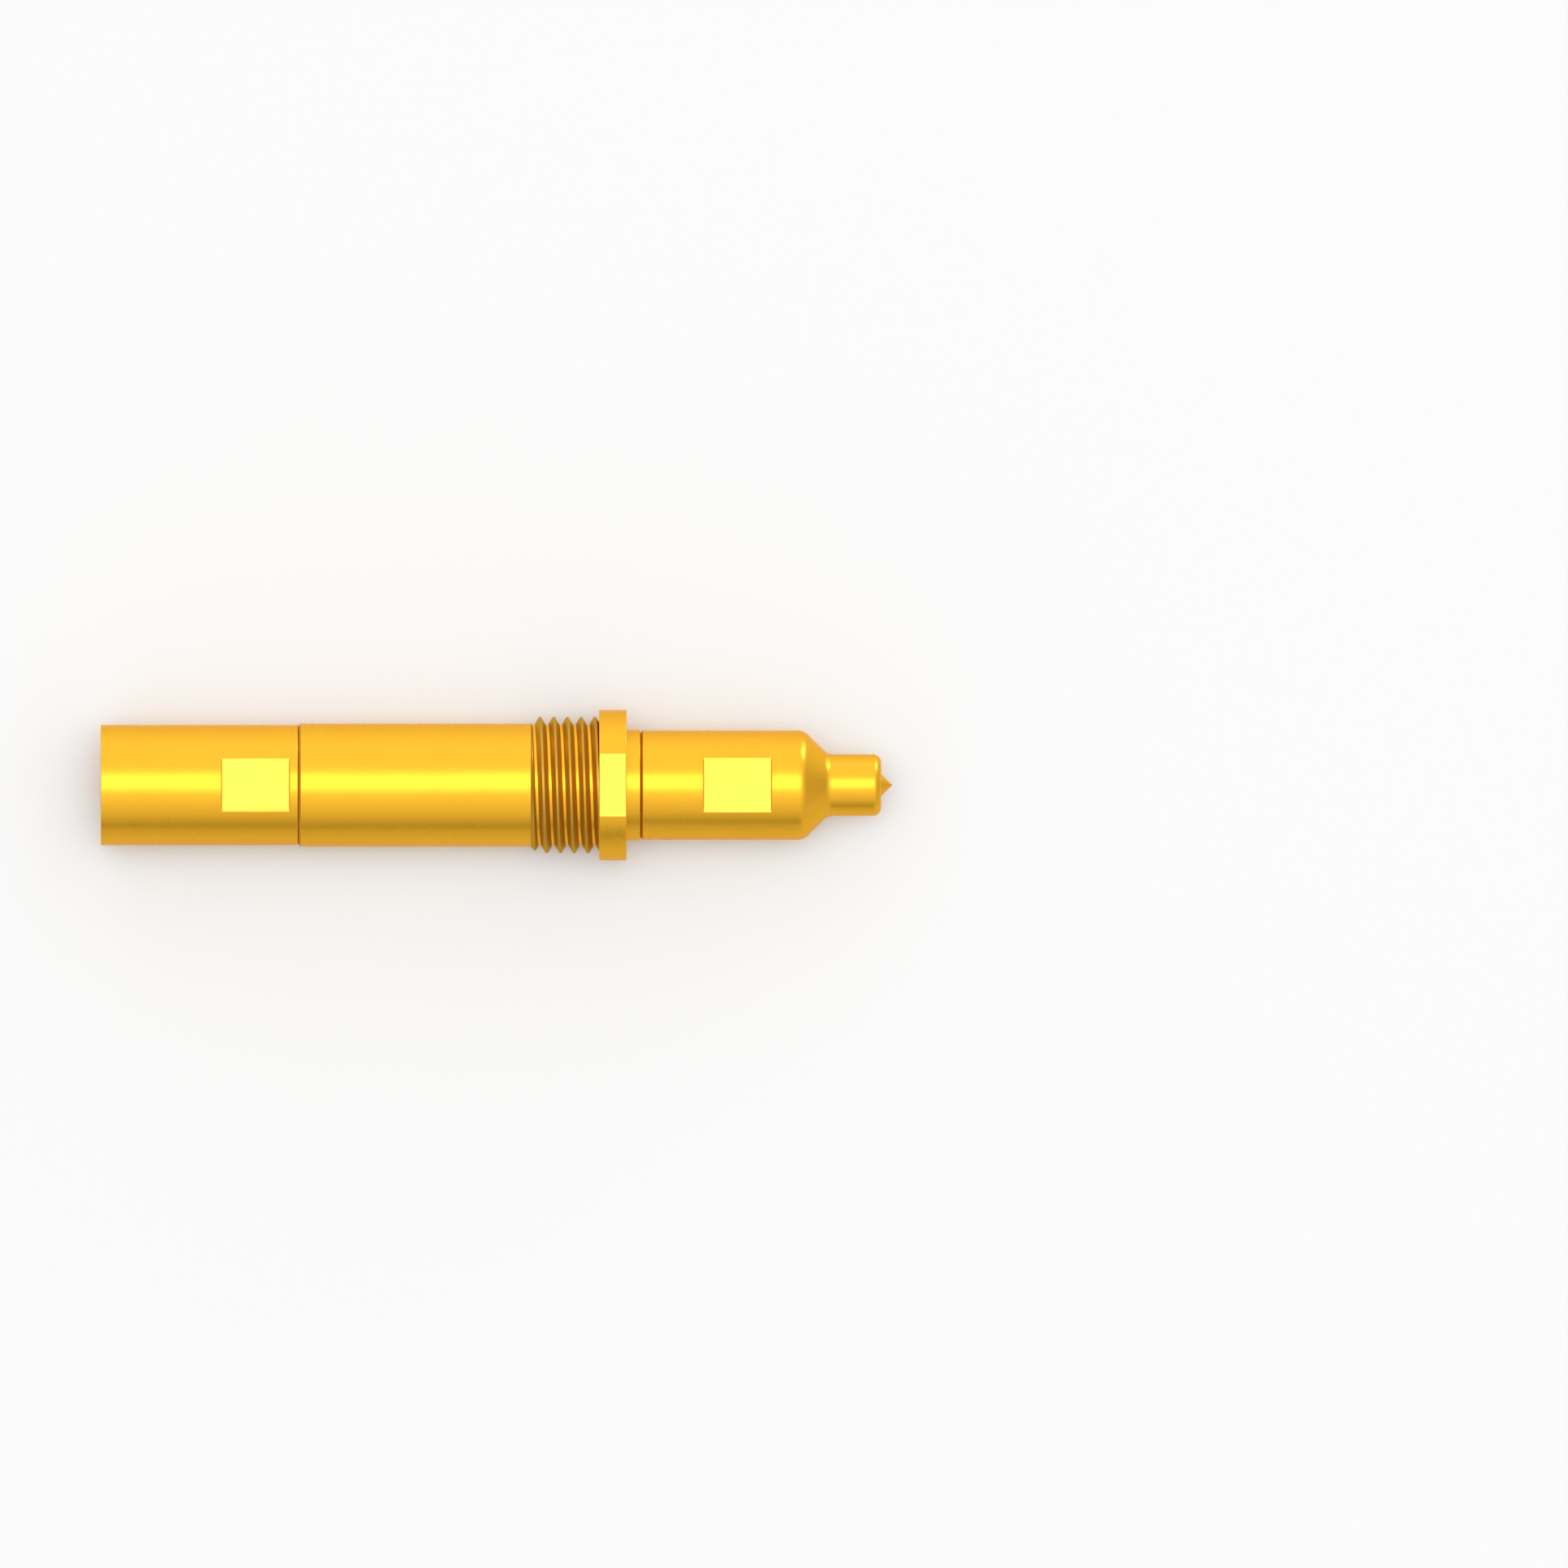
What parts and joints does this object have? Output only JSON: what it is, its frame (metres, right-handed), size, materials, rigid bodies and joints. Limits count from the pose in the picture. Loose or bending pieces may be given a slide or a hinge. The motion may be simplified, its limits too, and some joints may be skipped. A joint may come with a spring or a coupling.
{
  "type": "rf test probe",
  "caption": "Coaxial RF test probe: a spring-loaded contact head with a pointed centre pin slides in a collared barrel with a fine thread, with a coax jack at the rear.",
  "frame": {"origin": "on the probe's axis, in the plane of the collar's rear face, which seats on the plate the probe is screwed into", "axes": "+X along the axis from the coax jack to the contact tip, +Z square to the spanner flats, so the probe lies on its collar's lower flat"},
  "size_m": [0.0289, 0.0054, 0.005],
  "materials": {
    "gold_plate": "polished",
    "contact_gold": "polished",
    "spring_steel": "satin",
    "ptfe": "matte",
    "ceramic": "gloss"
  },
  "bodies": {
    "mounting_barrel": {"barrel": "gold_plate", "main_spring": "spring_steel"},
    "sliding_line": {"plunger": "gold_plate", "contact_head": "gold_plate", "coax_jack": "gold_plate", "pin_spring": "spring_steel", "pin_tube": "contact_gold", "centre_conductor": "contact_gold", "socket_contact": "contact_gold", "front_bead": "ptfe", "joint_bead": "ptfe", "middle_bead": "ptfe", "jack_insulator": "ptfe"},
    "centre_pin": {"contact_pin": "contact_gold", "pin_pellet": "ceramic"}
  },
  "joints": [
    {"name": "plunger_slide", "type": "slide", "parent": "mounting_barrel", "child": "sliding_line", "axis": [-1, 0, 0], "range_m": [0, 0.004], "stiffness_N_per_m": 600, "springref_m": -0.0025, "deforming": ["main_spring"]},
    {"name": "pin_slide", "type": "slide", "parent": "sliding_line", "child": "centre_pin", "axis": [-1, 0, 0], "range_m": [0, 0.001], "stiffness_N_per_m": 495, "springref_m": -0.0005, "deforming": ["pin_spring"]}
  ]
}
